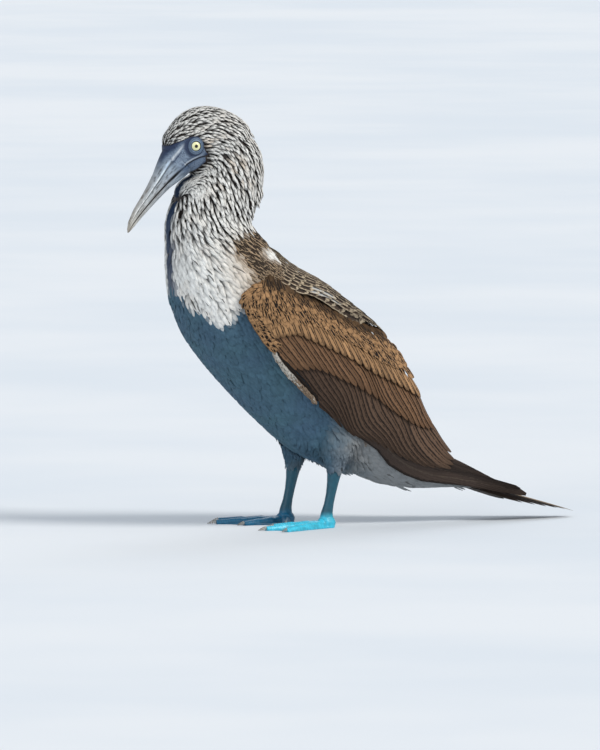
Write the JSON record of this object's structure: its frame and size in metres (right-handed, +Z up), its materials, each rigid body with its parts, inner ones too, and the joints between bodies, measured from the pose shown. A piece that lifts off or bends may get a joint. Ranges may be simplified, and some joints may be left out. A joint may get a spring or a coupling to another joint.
{
  "type": "blue-footed booby model",
  "caption": "Life-size standing seabird with a long pointed bill, folded brown wings, a wedge tail and webbed blue feet",
  "frame": {"origin": "the centre of the model's box, on the floor that the soles rest on", "axes": "+Z up, the bird faces -Y, +X is its left side"},
  "size_m": [0.1646, 0.5356, 0.4662],
  "materials": {
    "head_feathers": "narrow pale feathers with dark streaks",
    "body_feathers": "soft white feathers",
    "wing_feathers": "brown vanes with paler edges",
    "tail_feathers": "dark brown vanes, paler along the middle",
    "bill": "blue-grey horn, satin",
    "eye": "pale yellow iris with a small black pupil, wet",
    "foot_skin": "bright blue scaled skin",
    "claw": "pale grey horn"
  },
  "bodies": {
    "root": {"head": "head_feathers", "neck": "head_feathers", "torso": "body_feathers", "thigh_left": "body_feathers", "thigh_right": "body_feathers", "mantle": "wing_feathers", "wing_left": "wing_feathers", "wing_right": "wing_feathers", "tail": "tail_feathers", "bill_upper": "bill", "bill_lower": "bill", "eye_left": "eye", "eye_right": "eye", "leg_left": "foot_skin", "leg_right": "foot_skin", "foot_left": "foot_skin", "foot_right": "foot_skin", "claw_left_hind": "claw", "claw_left_inner": "claw", "claw_left_middle": "claw", "claw_left_outer": "claw", "claw_right_hind": "claw", "claw_right_inner": "claw", "claw_right_middle": "claw", "claw_right_outer": "claw"}
  },
  "joints": []
}
